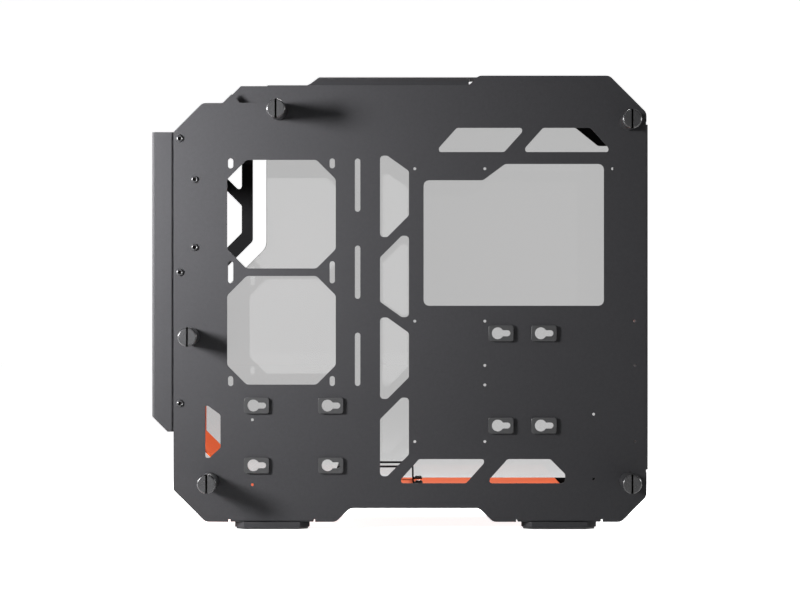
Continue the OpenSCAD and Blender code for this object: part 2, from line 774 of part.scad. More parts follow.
// Left frame: a sheet cut to rails, with a lattice at its upper front
front_x = x_front + lattice_bar;
corner_plate_in = 38.2;
opening = [
    [x_front + front_rail, base_z],
    [x_edge - rear_rail, base_z],
    [x_edge - rear_rail, top_z - opening_drop - corner_plate_z],
    [x_rear - corner_plate_in, top_z - opening_drop - corner_plate_z],
    [x_rear - corner_plate_in - corner_plate_x, top_z - opening_drop],
    [x_front + lattice_x, top_z - opening_drop],
    [x_front + lattice_x, lattice_z],
    [x_front + front_rail, lattice_z - lattice_x + front_rail]
];
lattice_cut = 22;
bar_x = x_front + lattice_x - lattice_bar;
arm_rise = 52.9;
arm_top = lattice_z + arm_rise;
arm_gap = 14;
low_arm_rise = 9;
window_high = [
    [bar_x, arm_top],
    [bar_x, top_z - opening_drop],
    [front_x + lattice_cut, top_z - opening_drop],
    [front_x, top_z - opening_drop - lattice_cut],
    [front_x, arm_top + bar_x - front_x]
];
window_low = [
    [bar_x, arm_top - arm_gap],
    [front_x, arm_top - arm_gap + bar_x - front_x],
    [front_x, lattice_z + low_arm_rise - bar_x + front_x],
    [bar_x, lattice_z + low_arm_rise]
];
module left_frame() color([0.17, 0.17, 0.18]) {
    upright(y_left) difference() {
        union() {
            difference() {
                polygon(rounded(side_outline, side_radii));
                polygon(rounded(opening, cpu_r));
                polygon(rounded(window_high, edge_r));
                polygon(rounded(window_low, edge_r));
            }
            for (p = posts) translate(p) circle(post_land_r);
        }
        post_holes();
        screw_holes(concat(nose_screws, wall_screws));
        for (x = foot_x) fold_room(x);
    }
    for (x = foot_x) foot_flange_at(x, y_left, -1);
}

// Front bracket: a channel ahead of the tray, whose stepped flanges reach behind the side sheets
module front_bracket() color([0.19, 0.19, 0.2]) {
    mid = sheet / 2;
    step_x = x_front - fit - sheet / 4;
    path = [
        [x_front + nose_flange, y_in_right + mid],
        [step_x, y_in_right + mid],
        [step_x - sheet, y_right + mid],
        [x_nose + mid, y_right + mid],
        [x_nose + mid, y_left - mid],
        [step_x - sheet, y_left - mid],
        [step_x, y_in_left - mid],
        [x_front + nose_flange, y_in_left - mid]
    ];
    tab_low = nose_z + nose_tab_rises[0] - nose_tab_margin;
    tab_high = nose_z + nose_tab_rises[1] + nose_tab_margin;
    difference() {
        union() {
            flat(nose_z, nose_h) polygon(strip(bent(path, fold_r), sheet));
            box([x_front + nose_flange - over, y_in_right, tab_low],
                [x_front + nose_tab_edge, y_in_right + sheet, tab_high]);
        }
        upright(y_left + over, frame_width + 2 * over)
            polygon([[x_nose - over, nose_z - over], [x_nose + nose_cut, nose_z - over],
                [x_nose + nose_cut, nose_z], [x_nose, nose_z + nose_cut],
                [x_nose - over, nose_z + nose_cut]]);
        across(x_nose - over, sheet + 2 * over) {
            drilled_fan_column(y_mid, nose_z + nose_fan_z, 2);
            control_holes();
        }
        upright(y_left + over, frame_width + 2 * over) screw_holes(nose_screws);
        upright(y_mid, frame_width / 2 + over) screw_holes(nose_tab_screws);
    }
}

// Top panel: stepped at the front, level over the fans, and sloped down to the rear wall
slope_gap = 1.7;
panel_end_in = 3.2;
module panel_profile() {
    mid = sheet / 2;
    slope_sum = x_edge + top_z - rear_top_cut - slope_gap - sheet / sqrt(2);
    low = main_z - fit - mid;
    high = panel_top - mid;
    path = [
        [top_flange_x0 - panel_low_len, low],
        [top_flange_x0, low],
        [top_flange_x0 + top_flange_taper, high],
        [slope_sum - high, high],
        [x_edge - panel_end_in, slope_sum - x_edge + panel_end_in]
    ];
    polygon(strip(bent(path, fold_r), sheet));
}
// The tongue that hangs behind the notch at the tray's shoulder
tongue_lap = 4;
module panel_tongue() {
    cut = tooth + sheet;
    under = notch_root.y - tongue_lap;
    tongue_top = main_z - fit;
    rear = top_flange_x0 - fold_out;
    upright(y_right + tongue_in + sheet) polygon([[shoulder_x, tongue_top], [rear, tongue_top],
        [rear, under], [shoulder_x - cut, under], [shoulder_x - cut, tongue_top - cut]]);
}
module top_panel() color([0.17, 0.17, 0.18]) {
    flange_end = x_edge - rear_top_cut - panel_flange;
    difference() {
        union() {
            upright(y_in_left, frame_width - 2 * sheet) panel_profile();
            panel_tongue();
            box([raised_x + main_drop, y_in_right, panel_under - panel_flange],
                [flange_end, y_in_right + sheet, panel_under + sheet / 2]);
            box([top_flange_x0 + top_flange_taper + fold_out, y_in_left - sheet, panel_under - panel_flange],
                [flange_end, y_in_left, panel_under + sheet / 2]);
        }
        box([top_flange_x0 - fit, y_in_right - over, main_z - panel_flange],
            [top_flange_x1 + main_drop, y_right + top_flange_back, top_z + over]);
        translate([0, 0, panel_under - over]) linear_extrude(sheet + 2 * over)
            rotate(-90) fan_column(-y_mid, x_rear - top_fan_x, 2);
    }
}

// Base sheet: floor, slope and front wall in one folded sheet with side flanges
base_screw_r = 1.7;
bracket_x1 = x_rear - bracket_rear;
bracket_x0 = bracket_x1 - bracket_len;
bracket_y_in = 83;
bracket_y0 = y_right + bracket_y_in;
bracket_y1 = bracket_y0 + bracket_w;
bracket_screw_out = 5.4;
bracket_screws = [for (x = [bracket_x0 - bracket_screw_out, bracket_x1 + bracket_screw_out],
    y = [bracket_y0 + bracket_rail / 2, bracket_y1 - bracket_rail / 2]) [x, y]];
module base_sheet() color([0.95, 0.38, 0.16]) {
    mid = sheet / 2;
    wall_x = x_front + base_front - mid;
    end_x = x_rear - base_rear;
    path = [
        [end_x - mid, base_z - base_flange],
        [end_x - mid, base_z - mid],
        [wall_x + base_slope, base_z - mid],
        [wall_x, base_z - mid + base_slope],
        [wall_x, base_wall_z]
    ];
    difference() {
        union() {
            upright(y_in_left, frame_width - 2 * sheet) polygon(strip(bent(path, fold_r), sheet));
            for (y = [y_in_right, y_in_left - sheet])
                box([wall_x + base_slope + fold_out, y, base_z - base_flange],
                    [end_x - 2 * fold_out, y + sheet, base_z - mid]);
        }
        for (p = bracket_screws) rod_z(p.x, p.y, base_z - sheet - over, base_z + over, base_screw_r);
    }
}

// Drive bracket: two rails on four legs over the base
rail_slot_w = 4;
rail_slot_len = 24;
module drive_bracket() color([0.14, 0.14, 0.15]) {
    mid = sheet / 2;
    high = base_z + bracket_h - mid;
    low = base_z + mid;
    path = [
        [bracket_x0 - bracket_foot, low],
        [bracket_x0 + mid, low],
        [bracket_x0 + mid, high],
        [bracket_x1 - mid, high],
        [bracket_x1 - mid, low],
        [bracket_x1 + bracket_foot, low]
    ];
    y0 = bracket_y0 + bracket_rail;
    y1 = bracket_y1 - bracket_rail;
    difference() {
        upright(bracket_y1, bracket_w) polygon(strip(bent(path, fold_r), sheet));
        box([bracket_x0 + bracket_rail, y0, high - mid - over],
            [bracket_x1 - 2 * sheet, y1, high + mid + over]);
        for (x = [bracket_x0 - bracket_foot - over, bracket_x1 - 2 * fold_out])
            box([x, y0, base_z - over],
                [x + bracket_foot + over + 2 * fold_out, y1, high - fold_out]);
        for (p = bracket_screws) rod_z(p.x, p.y, base_z - over, low + sheet, base_screw_r);
        for (y = [bracket_y0, bracket_y1 - bracket_rail], i = [1, 2])
            translate([0, 0, high - mid - over]) linear_extrude(sheet + 2 * over)
                rotate(-90) pill(-y - bracket_rail / 2, bracket_x0 + i * bracket_len / 3,
                    rail_slot_w, rail_slot_len);
    }
}

// Glass: open at the upper front, held off the left frame by its posts
glass_low = 12;
glass_cut = 20;
module left_glass() color([0.45, 0.45, 0.45, 0.5]) {
    x0 = x_front + glass_inset;
    x1 = x_edge - glass_inset;
    z0 = skirt_z + glass_low;
    z1 = top_z - glass_inset;
    cx = x_front + glass_corner_x;
    outline = [
        [x0, z0 + glass_cut], [x0 + glass_cut, z0], [x1 - glass_cut, z0], [x1, z0 + glass_cut],
        [x1, z1 - rear_top_cut], [x1 - rear_top_cut, z1], [cx, z1], [cx, glass_corner_z],
        [x0, glass_corner_z - cx + x0]
    ];
    radii = [corner_r, corner_r, corner_r, corner_r, corner_r, corner_r, edge_r,
        glass_corner_r, corner_r];
    upright(y_glass + glass_t, glass_t) difference() {
        polygon(rounded(outline, radii));
        for (p = posts) translate(p) circle(glass_hole_r);
    }
}

// Posts and thumbscrews. Each is drawn along +Z and turned to its side
post_bevel = 0.8;
shank_len = 10;
head_bevel = 1.2;
washer_r = 8;
module turned(p, y, side) translate([p.x, y, p.y]) rotate([side * 90, 0, 0]) children();
module post(len) {
    difference() {
        rotate_extrude() polygon([[0, -sheet], [spigot_r, -sheet], [spigot_r, 0], [post_r, 0],
            [post_r, len - post_bevel], [post_r - post_bevel, len], [0, len]]);
        translate([0, 0, len - thread_len]) cylinder(h = thread_len + over, r = thread_r + fit / 2);
    }
}
module thumbscrew(reach) {
    difference() {
        rotate_extrude() polygon([[0, -reach], [thread_r - fit / 2, -reach], [thread_r - fit / 2, 0],
            [head_r - head_bevel / 2, 0], [head_r, head_bevel / 2], [head_r, head_t - head_bevel],
            [head_r - head_bevel, head_t], [0, head_t]]);
        box([-coin_slot_w / 2, -head_r - over, head_t - coin_slot_d],
            [coin_slot_w / 2, head_r + over, head_t + over]);
    }
}
module right_post(i) color([0.12, 0.12, 0.13]) turned(posts[i], y_right, 1) post(right_post_len);
module left_post(i) color([0.12, 0.12, 0.13]) turned(posts[i], y_left, -1) post(left_post_len);
module right_thumbscrews() color([0.1, 0.1, 0.11])
    for (p = posts) turned(p, y_right - right_post_len, 1) thumbscrew(shank_len);
module left_thumbscrews() color([0.1, 0.1, 0.11])
    for (p = posts) turned(p, y_glass + glass_t + washer_t, -1)
        thumbscrew(shank_len + glass_t + 2 * washer_t);
module glass_washers() color([0.05, 0.05, 0.05])
    for (p = posts, y = [y_glass - washer_t, y_glass + glass_t])
        turned(p, y + washer_t, 1) difference() {
            cylinder(h = washer_t, r = washer_r);
            translate([0, 0, -over]) cylinder(h = washer_t + 2 * over, r = thread_r + fit);
        }

// Rubber pads in the tray, each with a rim on both faces
pad_back = 1.2;
module pad(k) color([0.08, 0.08, 0.08]) translate([k.x, 0, k.y]) {
    difference() {
        union() {
            upright(y_right, pad_proud) pad_shape(0);
            upright(y_in_right, sheet) pad_shape(-pad_rim - fit / 2);
            upright(y_in_right + pad_back, pad_back) pad_shape(-pad_rim / 2);
        }
        upright(y_in_right + pad_back + over, pad_back + sheet + pad_proud + 2 * over) keyhole_shape();
    }
}

// Feet and their rubber soles
module foot_shape(inset) {
    cut = foot_cut;
    q = [cut, cut];
    translate([-foot_len / 2 + inset, -foot_w / 2 + inset])
        polygon(cut_rect(foot_len - 2 * inset, foot_w - 2 * inset, q, q, q, q));
}
module foot(i) color([0.15, 0.15, 0.16]) {
    x = foot_x[i % 2];
    y = foot_sides[floor(i / 2)];
    difference() {
        translate([x, y, sole_t]) linear_extrude(foot_h) foot_shape(0);
        for (s = [-1, 1])
            rod_z(x + s * foot_screw_pitch / 2, y, skirt_z - screw_len, skirt_z + over, screw_r + fit / 2);
    }
}
module sole(i) color([0.05, 0.05, 0.05])
    translate([foot_x[i % 2], foot_sides[floor(i / 2)], 0]) linear_extrude(sole_t) foot_shape(sole_inset);

// Small button head screws, drawn with the head above zero
screw_bevel = 0.7;
module small_screw(reach = screw_len) {
    rotate_extrude() polygon([[0, -reach], [screw_r, -reach], [screw_r, 0], [screw_head_r, 0],
        [screw_head_r, screw_head_t - 2 * screw_bevel],
        [screw_head_r - screw_bevel, screw_head_t - screw_bevel / 2],
        [screw_head_r - 2 * screw_bevel, screw_head_t], [0, screw_head_t]]);
}
module foot_screws() color([0.3, 0.3, 0.3])
    for (x = foot_x, y = foot_sides, s = [-1, 1])
        translate([x + s * foot_screw_pitch / 2, y, skirt_z + sheet]) small_screw();
module tray_screws() color([0.1, 0.1, 0.1])
    for (p = concat(nose_screws, nose_tab_screws)) turned(p, y_right, 1) small_screw();
module frame_screws() color([0.1, 0.1, 0.1])
    for (p = concat(nose_screws, wall_screws)) turned(p, y_left, -1) small_screw();
module bracket_screws_set() color([0.1, 0.1, 0.1])
    for (p = bracket_screws) translate([p.x, p.y, base_z + sheet]) small_screw();

// Covers of the expansion slots, inside the rear wall, and their screws
cover_x = x_edge - sheet - cover_t;
cover_y = y_in_right + cover_start;
vent_w = 3;
vent_share = 0.72;
slot_screw_len = cover_t + 2 * sheet - fit;
module slot_cover(i) color([0.15, 0.15, 0.16]) {
    z = slot_z(i);
    across(cover_x, cover_t) difference() {
        translate([cover_y, z - cover_w / 2]) square([cover_len, cover_w]);
        for (j = [0 : 3], s = [-1, 0, 1])
            translate([cover_y + slot_start + (j + 1 / 2) * slot_len / 4, z + s * vent_w * 3 / 2])
                rotate(90) pill(0, 0, vent_w, slot_len / 4 * vent_share);
        translate([cover_y + cover_len - cover_screw_in, z]) circle(screw_r + fit / 2);
    }
}
module slot_screws() color([0.3, 0.3, 0.3])
    for (i = [0 : 6])
        translate([cover_x, cover_y + cover_len - cover_screw_in, slot_z(i)])
            rotate([0, -90, 0]) small_screw(slot_screw_len);

// Controls in the upper part of the front bracket
deck_z = nose_top - deck_drop;
deck_x = x_nose + sheet;
control_pitch = deck_w * control_share;
power_y = y_mid - 2 * control_pitch;
reset_y = y_mid - control_pitch - control_pitch / 5;
port_ys = [y_mid - control_pitch / 5, y_mid + control_pitch * 4 / 5];
jack_ys = [y_mid + control_pitch * 9 / 5, y_mid + control_pitch * 5 / 2];
button_gap = 0.3;
button_rim = 1;
button_rim_t = 2;
button_room = 9;
module control_holes() {
    translate([power_y, deck_z]) circle(power_r + button_gap);
    translate([reset_y, deck_z]) circle(reset_r + button_gap);
    for (y = port_ys) translate([y - port_w / 2, deck_z - port_h / 2]) square([port_w, port_h]);
    for (y = jack_ys) translate([y, deck_z]) circle(jack_r);
}
module button_at(y, r) {
    face = x_nose + fit;
    back = deck_x + button_room - button_travel - button_gap;
    rod_x(y, deck_z, face, back, r);
    rod_x(y, deck_z, deck_x + button_gap, deck_x + button_gap + button_rim_t, r + button_rim);
}
module control_housing() color([0.08, 0.08, 0.09]) {
    difference() {
        box([deck_x, y_mid - deck_w / 2, deck_z - deck_h / 2],
            [deck_x + deck_d, y_mid + deck_w / 2, deck_z + deck_h / 2]);
        for (b = [[power_y, power_r], [reset_y, reset_r]])
            rod_x(b[0], deck_z, deck_x - over, deck_x + button_room, b[1] + button_rim + button_gap);
        for (y = port_ys)
            box([deck_x - over, y - port_w / 2, deck_z - port_h / 2],
                [deck_x + button_room, y + port_w / 2, deck_z + port_h / 2]);
        for (y = jack_ys) rod_x(y, deck_z, deck_x - over, deck_x + button_room, jack_r);
    }
}
module power_button() color([0.2, 0.2, 0.21]) button_at(power_y, power_r);
module reset_button() color([0.2, 0.2, 0.21]) button_at(reset_y, reset_r);
port_wall = 0.6;
tongue_w = 9;
tongue_h = 1.9;
module data_ports() color([0.7, 0.7, 0.72])
    for (y = port_ys) {
        back = deck_x + button_room;
        difference() {
            box([x_nose + fit, y - port_w / 2 + fit / 2, deck_z - port_h / 2 + fit / 2],
                [back, y + port_w / 2 - fit / 2, deck_z + port_h / 2 - fit / 2]);
            box([x_nose - over, y - port_w / 2 + port_wall, deck_z - port_h / 2 + port_wall],
                [back - port_wall, y + port_w / 2 - port_wall, deck_z + port_h / 2 - port_wall]);
        }
        box([x_nose + 2 * port_wall, y - tongue_w / 2, deck_z + fit],
            [back - port_wall / 2, y + tongue_w / 2, deck_z + fit + tongue_h / 2]);
    }
jack_bore_r = 1.75;
module sound_sockets() color([0.12, 0.12, 0.12])
    for (y = jack_ys) difference() {
        rod_x(y, deck_z, x_nose + fit, deck_x + button_room, jack_r - fit / 2);
        rod_x(y, deck_z, x_nose - over, deck_x + button_room - port_wall, jack_bore_r);
    }

motherboard_tray();
rear_panel();
left_frame();
front_bracket();
top_panel();
base_sheet();
drive_bracket();
left_glass();
right_post(0);  // right_post_1
right_post(1);  // right_post_2
right_post(2);  // right_post_3
right_post(3);  // right_post_4
right_post(4);  // right_post_5
left_post(0);  // left_post_1
left_post(1);  // left_post_2
left_post(2);  // left_post_3
left_post(3);  // left_post_4
left_post(4);  // left_post_5
right_thumbscrews();
left_thumbscrews();
glass_washers();
pad(small_keys[0]);  // small_pad_1
pad(small_keys[1]);  // small_pad_2
pad(small_keys[2]);  // small_pad_3
pad(small_keys[3]);  // small_pad_4
pad(large_keys[0]);  // large_pad_1
pad(large_keys[1]);  // large_pad_2
pad(large_keys[2]);  // large_pad_3
pad(large_keys[3]);  // large_pad_4
foot(0);  // foot_1
foot(1);  // foot_2
foot(2);  // foot_3
foot(3);  // foot_4
sole(0);  // sole_1
sole(1);  // sole_2
sole(2);  // sole_3
sole(3);  // sole_4
foot_screws();
tray_screws();
frame_screws();
bracket_screws_set();  // bracket_screws
slot_cover(0);  // slot_cover_1
slot_cover(1);  // slot_cover_2
slot_cover(2);  // slot_cover_3
slot_cover(3);  // slot_cover_4
slot_cover(4);  // slot_cover_5
slot_cover(5);  // slot_cover_6
slot_cover(6);  // slot_cover_7
slot_screws();
control_housing();
power_button();
reset_button();
data_ports();
sound_sockets();
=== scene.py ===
import math

import bmesh
import bpy
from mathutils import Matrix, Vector


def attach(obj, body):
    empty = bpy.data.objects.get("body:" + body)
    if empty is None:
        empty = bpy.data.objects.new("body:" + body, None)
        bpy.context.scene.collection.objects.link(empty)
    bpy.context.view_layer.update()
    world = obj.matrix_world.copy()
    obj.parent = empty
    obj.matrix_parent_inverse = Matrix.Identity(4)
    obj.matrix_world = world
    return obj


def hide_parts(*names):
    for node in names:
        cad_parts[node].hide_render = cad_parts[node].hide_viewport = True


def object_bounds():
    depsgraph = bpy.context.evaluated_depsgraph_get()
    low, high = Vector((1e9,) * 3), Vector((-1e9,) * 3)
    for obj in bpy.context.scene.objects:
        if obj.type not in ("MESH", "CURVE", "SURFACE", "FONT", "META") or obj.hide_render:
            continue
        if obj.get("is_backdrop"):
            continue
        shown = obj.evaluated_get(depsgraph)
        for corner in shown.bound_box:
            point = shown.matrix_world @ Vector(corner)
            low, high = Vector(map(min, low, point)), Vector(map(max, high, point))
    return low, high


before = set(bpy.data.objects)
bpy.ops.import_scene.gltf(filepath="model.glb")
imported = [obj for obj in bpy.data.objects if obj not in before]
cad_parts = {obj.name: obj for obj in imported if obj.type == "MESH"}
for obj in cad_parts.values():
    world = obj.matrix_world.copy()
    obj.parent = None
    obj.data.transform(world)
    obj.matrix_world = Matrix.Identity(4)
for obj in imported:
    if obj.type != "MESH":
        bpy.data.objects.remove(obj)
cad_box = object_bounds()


# The motherboard tray is one sheet of 1.5 mm steel, cut out and folded at every edge, then powder
# coated in a fine-textured black. The coat rounds every cut edge a little, has a slight orange
# peel and a cloudy gloss, and holds some dust in its grain.
class Signal:
    """What comes out of a shader node, so that sums on it read as plain sums"""

    def __init__(self, finish, socket):
        self.finish, self.socket = finish, socket

    def sum(self, operation, first, second):
        return self.finish.node("ShaderNodeMath", {"operation": operation}, {0: first, 1: second})

    def __add__(self, other):
        return self.sum("ADD", self, other)

    def __sub__(self, other):
        return self.sum("SUBTRACT", self, other)

    def __mul__(self, other):
        return self.sum("MULTIPLY", self, other)

    def larger(self, other):
        return self.sum("MAXIMUM", self, other)

    def smaller(self, other):
        return self.sum("MINIMUM", self, other)

    __radd__ = __add__


class Finish:
    """One surface's material, around a single main shader"""

    def __init__(self, name, colour, constants=()):
        self.material = bpy.data.materials.new(name)
        self.material.use_nodes = True
        self.material.diffuse_color = (*colour, 1)
        self.tree = self.material.node_tree
        self.shader = self.tree.nodes["Principled BSDF"]
        self.shader.inputs["Base Color"].default_value = (*colour, 1)
        for socket, value in dict(constants).items():
            self.shader.inputs[socket].default_value = value

    def node(self, kind, settings=(), sockets=(), output=0):
        node = self.tree.nodes.new(kind)
        for key, value in dict(settings).items():
            setattr(node, key, value)
        for key, value in dict(sockets).items():
            if isinstance(value, Signal):
                self.tree.links.new(value.socket, node.inputs[key])
            else:
                node.inputs[key].default_value = value
        return Signal(self, node.outputs[output])

    def feed(self, socket, signal):
        self.tree.links.new(signal.socket, self.shader.inputs[socket])

    def place(self):
        return self.node("ShaderNodeTexCoord", output="Object")

    def noise(self, size, detail):
        sockets = {"Vector": self.place(), "Scale": 1 / size, "Detail": detail}
        return self.node("ShaderNodeTexNoise", {}, sockets)

    def tint(self, mask, dark, light):
        shades = {0: mask, 6: (*dark, 1), 7: (*light, 1)}
        self.feed("Base Color", self.node("ShaderNodeMix", {"data_type": "RGBA"}, shades, 2))

    def relief(self, height, depth, strength):
        sockets = {"Height": height, "Distance": depth, "Strength": strength}
        self.feed("Normal", self.node("ShaderNodeBump", {}, sockets))


def powder_coat(name, colour, roughness, grain, sheen_level=0.5):
    """Baked powder with an orange peel of the given grain, a cloudy gloss and some dust"""
    coat = Finish(name, colour, {"Specular IOR Level": sheen_level})
    peel = coat.noise(grain, 2.5)
    cloud = coat.noise(0.09, 4)
    dust = coat.noise(0.0035, 5)
    speckle = peel * 0.6 + dust * 0.4
    coat.tint(speckle, [c * 0.7 for c in colour], [min(1, c * 1.3) for c in colour])
    coat.feed("Roughness", roughness + (cloud - 0.5) * 0.10 + (peel - 0.5) * 0.12)
    coat.relief(peel + dust * 0.5, 0.00006, 0.6)
    return coat


def merged(node):
    """The mesh of a CAD node with its doubles merged and its flat faces made whole"""
    mesh = bmesh.new()
    mesh.from_mesh(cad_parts[node].data)
    mesh.transform(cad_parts[node].matrix_world)
    bmesh.ops.remove_doubles(mesh, verts=mesh.verts, dist=2e-6)
    bmesh.ops.dissolve_limit(mesh, angle_limit=math.radians(0.6), verts=mesh.verts, edges=mesh.edges)
    return mesh


def placed(name, mesh, finish):
    """An object of the mesh in its finish"""
    data = bpy.data.meshes.new(name)
    mesh.to_mesh(data)
    mesh.free()
    data.materials.append(finish.material)
    piece = bpy.data.objects.new(name, data)
    scene.collection.objects.link(piece)
    return piece


def settled(piece):
    """The piece as a plain mesh that has taken up its modifiers and is smooth between creases"""
    view = bpy.context.evaluated_depsgraph_get()
    data = bpy.data.meshes.new_from_object(piece.evaluated_get(view))
    piece.modifiers.clear()
    piece.data = data
    data.shade_smooth()
    data.set_sharp_from_angle(angle=math.radians(35))
    flat = piece.modifiers.new("flat_faces", "WEIGHTED_NORMAL")
    flat.weight = 100
    flat.keep_sharp = True
    view = bpy.context.evaluated_depsgraph_get()
    piece.data = bpy.data.meshes.new_from_object(piece.evaluated_get(view))
    piece.modifiers.clear()
    return piece


def eased(name, node, finish, edge, body="frame", share=lambda line: 1.0):
    """A copy of a CAD node, with its cut edges rounded by their share, which stands in for it"""
    mesh = merged(node)
    weight = mesh.edges.layers.float.new("bevel_weight_edge")
    for line in mesh.edges:
        if len(line.link_faces) == 2 and line.calc_face_angle() > math.radians(38):
            line[weight] = share(line)
    piece = placed(name, mesh, finish)
    rounding = piece.modifiers.new("rounding", "BEVEL")
    rounding.width = edge
    rounding.segments = 2
    rounding.limit_method = "WEIGHT"
    rounding.miter_outer = "MITER_ARC"
    rounding.use_clamp_overlap = True
    settled(piece)
    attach(piece, body)
    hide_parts(node)
    return piece


scene = bpy.context.scene
black_coat = powder_coat("black_powder_coat", (0.040, 0.0396, 0.0430), 0.62, 0.0011, 0.25)
eased("tray_sheet", "motherboard_tray", black_coat, 0.00035)

# The rear wall, the front bracket and the roof sheet are cut and folded from the same steel,
# screwed to the tray, and share its coat.
eased("rear_wall", "rear_panel", black_coat, 0.0003)
eased("front_channel", "front_bracket", black_coat, 0.00035)
eased("roof_sheet", "top_panel", black_coat, 0.00035)

# The frame of the glass side and the shelf of the drive cage are coated in a black painted far darker
# than the tray's, as painted shade, so that they stay black in the light that falls through the tray.
shade_black_coat = powder_coat("painted_shade_black_coat", (0.004, 0.004, 0.0045), 0.60, 0.0011, 0.06)
eased("glass_side_frame", "left_frame", shade_black_coat, 0.00035)
eased("drive_shelf", "drive_bracket", shade_black_coat, 0.0003)

# The base is a folded sheet of the same steel that turns up at the front. Its satin orange coat
# is smoother than the black one.
orange_coat = powder_coat("orange_powder_coat", (0.85, 0.105, 0.010), 0.6, 0.0014, 0.07)
eased("orange_base", "base_sheet", orange_coat, 0.00035)

# The glass side is a tempered pane of 4 mm with ground edges and a smoke tint, which dims what
# stands behind it. It shows a faint haze of handling and hangs on the left posts.
smoked = Finish("smoked_glass", (0.012, 0.009, 0.010), {"Alpha": 0.32, "Specular IOR Level": 1.0})
haze = smoked.noise(0.03, 3)
smoked.tint(haze, (0.008, 0.006, 0.007), (0.018, 0.014, 0.015))
smoked.feed("Roughness", haze * 0.04)
pane = eased("glass_pane", "left_glass", smoked, 0.0006,
             share=lambda line: 0.0 if line.calc_length() < 0.003 else 1.0)
ground = Finish("ground_glass_edge", (0.012, 0.013, 0.013))
scratches = ground.noise(0.0008, 3)
ground.tint(scratches, (0.008, 0.009, 0.009), (0.022, 0.024, 0.024))
ground.feed("Roughness", 0.4 + scratches * 0.3)


def refinished(piece, finish, belongs):
    """The second finish goes on the faces that belong to it"""
    piece.data.materials.append(finish.material)
    for face in piece.data.polygons:
        face.material_index = int(belongs(face))


refinished(pane, ground, lambda face: abs(face.normal.y) < 0.98)

# The posts are turned from steel rod and pressed into the side sheets. Fine rings from the lathe
# run round them under a satin black coat.
turned_black = Finish("satin_black_turning", (0.028, 0.028, 0.031), {"Specular IOR Level": 0.7})
rings = turned_black.node("ShaderNodeTexWave", {"bands_direction": "Y"}, {
    "Vector": turned_black.place(), "Scale": 620, "Distortion": 0.6, "Detail": 2})
wear = turned_black.noise(0.004, 4)
turned_black.tint(wear, (0.020, 0.020, 0.022), (0.038, 0.038, 0.041))
turned_black.feed("Roughness", 0.30 + wear * 0.16)
turned_black.relief(rings * 0.5 + wear, 0.00005, 0.5)
for side in ("right", "left"):
    for i in range(1, 6):
        post = "%s_post_%d" % (side, i)
        eased("turned_" + post, post, turned_black, 0.0004)

# Five slotted thumbscrews close each side. Their broad heads have a bevelled rim that catches the
# light, and turn by hand or with a coin.
head_black = Finish("polished_black_turning", (0.030, 0.030, 0.033), {"Specular IOR Level": 1.0})
faint = head_black.noise(0.002, 4)
turned_face = head_black.node("ShaderNodeTexWave", {"wave_type": "RINGS", "rings_direction": "Y"}, {
    "Vector": head_black.place(), "Scale": 300, "Distortion": 1.0, "Detail": 2})
head_black.tint(faint, (0.024, 0.024, 0.026), (0.036, 0.036, 0.039))
head_black.feed("Roughness", 0.20 + faint * 0.10)
head_black.relief(turned_face * 0.3 + faint, 0.00003, 0.4)
# The slots of the thumbscrews and the sockets of the screws get a near-black finish, which is painted
# shade standing in for the dark in those hollows.
painted_shade = Finish("slot_and_socket_painted_shade", (0.004, 0.004, 0.004), {"Specular IOR Level": 0.1})
shade_mottle = painted_shade.noise(0.0005, 3)
painted_shade.tint(shade_mottle, (0.002, 0.002, 0.002), (0.010, 0.009, 0.009))
painted_shade.feed("Roughness", 0.7 + shade_mottle * 0.3)


def islands(node):
    """The boxes of the separate solids in a CAD node, as (low, high) corners"""
    mesh = merged(node)
    left, boxes = set(mesh.verts), []
    while left:
        todo, spot = [left.pop()], []
        while todo:
            vert = todo.pop()
            spot.append(vert.co.copy())
            for edge in vert.link_edges:
                other = edge.other_vert(vert)
                if other in left:
                    left.remove(other)
                    todo.append(other)
        low = Vector([min(p[k] for p in spot) for k in range(3)])
        high = Vector([max(p[k] for p in spot) for k in range(3)])
        boxes.append((low, high))
    mesh.free()
    return sorted(boxes, key=lambda b: tuple(b[0]))


slot_reach, slot_line = 0.0012, 0.005
for side, node in (("cable", "right_thumbscrews"), ("glass", "left_thumbscrews")):
    heads = eased(side + "_side_thumbscrews", node, head_black, 0.0010,
                  share=lambda line: 0.2 if line.calc_length() > slot_line else 1.0)
    middles = [(low.x + high.x) / 2 for low, high in islands(node)]
    # The slot faces of each head take the painted shade.
    refinished(heads, painted_shade, lambda face: min(abs(face.center.x - x) for x in middles) < slot_reach)

# The drive pads, the soles of the feet and the glass washers are moulded rubber with a fine
# grain, a greyish bloom and soft edges.
rubber = Finish("moulded_rubber", (0.018, 0.018, 0.020), {"Specular IOR Level": 1.0})
grain = rubber.noise(0.0006, 3)
bloom = rubber.noise(0.012, 3)
rubber.tint(grain * 0.5 + bloom * 0.5, (0.012, 0.012, 0.013), (0.030, 0.030, 0.033))
rubber.feed("Roughness", 0.24 + bloom * 0.12)
rubber.relief(grain, 0.00003, 0.4)


def outline_only(node, reach):
    """A share that rounds just the edges that lie near the outline of a node, seen from the side"""
    corners = [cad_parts[node].matrix_world @ Vector(c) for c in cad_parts[node].bound_box]
    low, high = [[pick(c[k] for c in corners) for k in (0, 2)] for pick in (min, max)]

    def share(line):
        middle = (line.verts[0].co + line.verts[1].co) / 2
        spot = (middle.x, middle.z)
        return float(min(min(p - a, b - p) for p, a, b in zip(spot, low, high)) < reach)
    return share


for size in ("small", "large"):
    for i in range(1, 5):
        pad = "%s_pad_%d" % (size, i)
        eased("rubber_" + pad, pad, rubber, 0.0012, share=outline_only(pad, 0.0012))
for i in range(1, 5):
    eased("rubber_sole_%d" % i, "sole_%d" % i, rubber, 0.0005)
eased("rubber_washers", "glass_washers", rubber, 0.0002)

# The feet are steel blocks with long chamfers, coated with the case and screwed under its flanges.
for i in range(1, 5):
    eased("coated_foot_%d" % i, "foot_%d" % i, black_coat, 0.0004)


